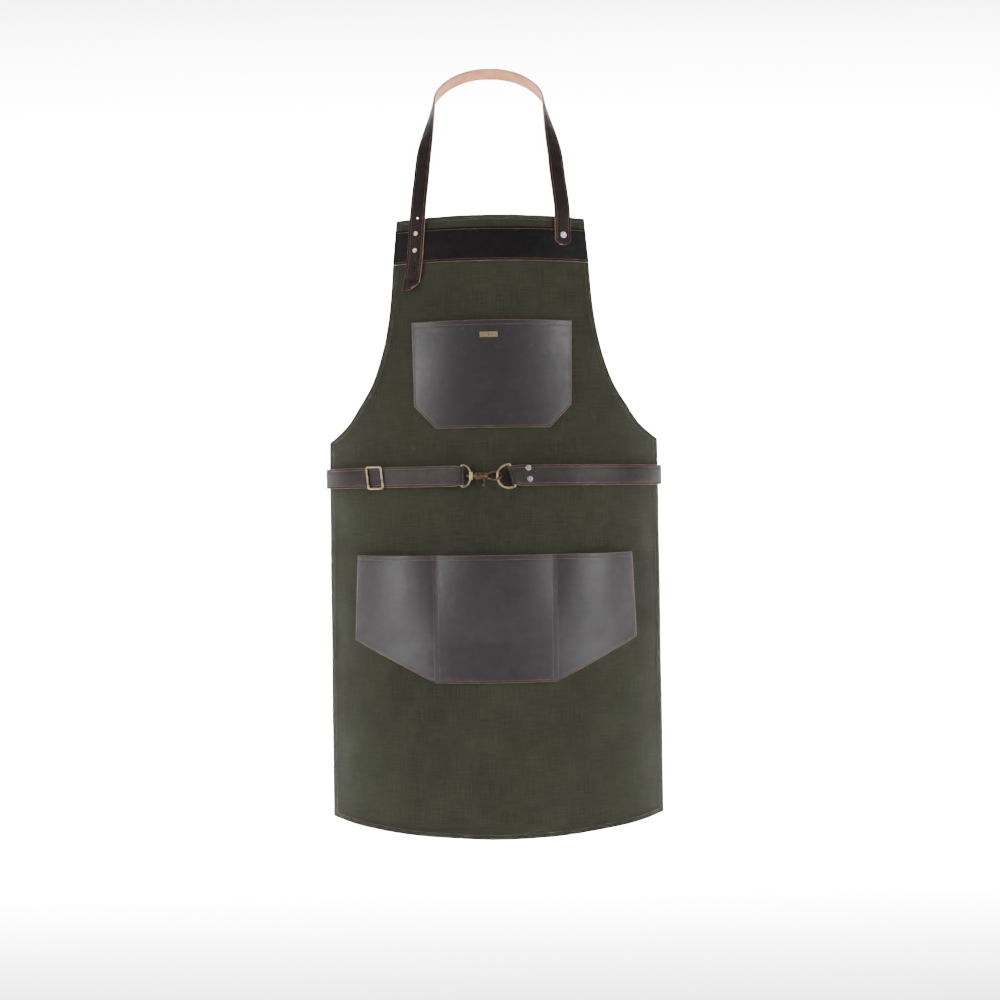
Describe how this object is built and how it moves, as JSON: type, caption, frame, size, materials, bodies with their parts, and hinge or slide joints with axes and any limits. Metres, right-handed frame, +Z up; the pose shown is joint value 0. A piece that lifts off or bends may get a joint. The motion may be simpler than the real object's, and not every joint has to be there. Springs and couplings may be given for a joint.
{
  "type": "bib apron",
  "caption": "Full-length canvas bib apron with leather band, chest and tool pockets, leather neck strap and a belt that wraps to the front and closes with a swivel hook on a D-ring",
  "frame": {"origin": "the neck loop mount: the middle of the neck strap at the back of the neck", "axes": "+Z up as worn, -Y out of the apron's front, +X to the viewer's right when facing the front"},
  "size_m": [0.5146, 0.2442, 1.1677],
  "materials": {
    "canvas": "matte olive canvas",
    "leather": "oiled dark brown, semi-gloss",
    "antique_brass": "antique, worn bright on the edges",
    "bronze": "dark antique bronze",
    "nickel": "satin nickel",
    "spring_steel": "bare"
  },
  "bodies": {
    "root": {"apron_panel": "canvas", "bib_band": "leather", "chest_pocket": "leather", "tool_pocket": "leather", "name_plate": "antique_brass", "name_plate_pins": "antique_brass", "neck_strap": "leather", "stud_heads": "antique_brass", "stud_screws": "antique_brass", "neck_rivet_cap": "nickel", "neck_rivet_post": "nickel", "belt_left": "leather", "belt_right": "leather", "belt_rivet_caps": "nickel", "belt_rivet_posts": "nickel"},
    "slide": {"slide_frame": "antique_brass", "slide_bar": "antique_brass", "belt_return": "leather"},
    "eye": {"swivel_eye": "antique_brass"},
    "hook": {"swivel_shaft": "bronze", "hook_body": "bronze", "gate_pin": "bronze", "gate_spring": "spring_steel"},
    "gate": {"gate": "bronze"},
    "ring": {"d_ring": "antique_brass"}
  },
  "joints": [
    {"name": "slide_travel", "type": "hinge", "parent": "root", "child": "slide", "pos_m": [0, 0.111, -0.6335], "axis": [0, 0, 1], "range_deg": [-12, 1.5]},
    {"name": "ring_lift", "type": "hinge", "parent": "root", "child": "ring", "pos_m": [0.0275, -0.198, -0.6332], "axis": [-0.2504, 0, 0.9681], "range_deg": [0, 5]},
    {"name": "eye_lift", "type": "hinge", "parent": "root", "child": "eye", "pos_m": [-0.0464, -0.198, -0.6335], "axis": [0, 0, 1], "range_deg": [-2.4, 0.3]},
    {"name": "hook_swivel", "type": "hinge", "parent": "eye", "child": "hook", "pos_m": [-0.033, -0.198, -0.6335], "axis": [1, 0, 0], "range_deg": [-8, 1]},
    {"name": "gate_open", "type": "hinge", "parent": "hook", "child": "gate", "pos_m": [-0.0115, -0.20056, -0.63644], "axis": [0, -0.7547, 0.6561], "range_deg": [0, 22], "stiffness_Nm_per_rad": 0.02, "springref_deg": -34.38}
  ],
  "couplings": [
    {"joint": "eye_lift", "follows": "ring_lift", "ratio": -0.42}
  ]
}
